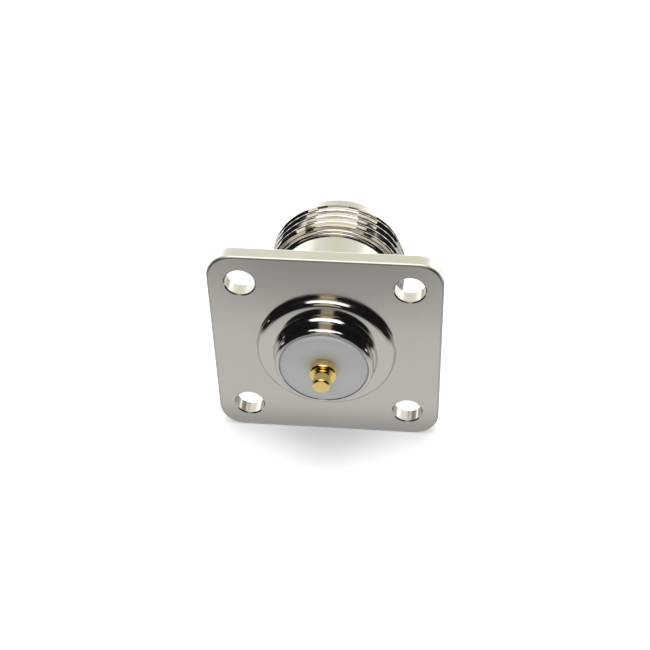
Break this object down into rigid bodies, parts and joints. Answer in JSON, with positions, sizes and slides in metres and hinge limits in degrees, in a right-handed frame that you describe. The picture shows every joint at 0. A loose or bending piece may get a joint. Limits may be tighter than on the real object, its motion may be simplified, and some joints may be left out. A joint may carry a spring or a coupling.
{
  "type": "n type coaxial panel connector",
  "caption": "Female coaxial panel connector: square flange with corner holes, threaded barrel with plain nose, stepped rear boss, white insulator and gold solder post.",
  "frame": {"origin": "centre of the square flange's rear face, on the connector's axis", "axes": "+Y along the axis towards the threaded mating end, solder end towards -Y, +Z and X square to the flange's sides"},
  "size_m": [0.0254, 0.0246, 0.0254],
  "materials": {
    "nickel": "satin nickel plate over brass",
    "ptfe": "turned PTFE",
    "gold": "gold plate"
  },
  "bodies": {
    "root": {"body": "nickel", "insulator": "ptfe", "contact": "gold"}
  },
  "joints": []
}
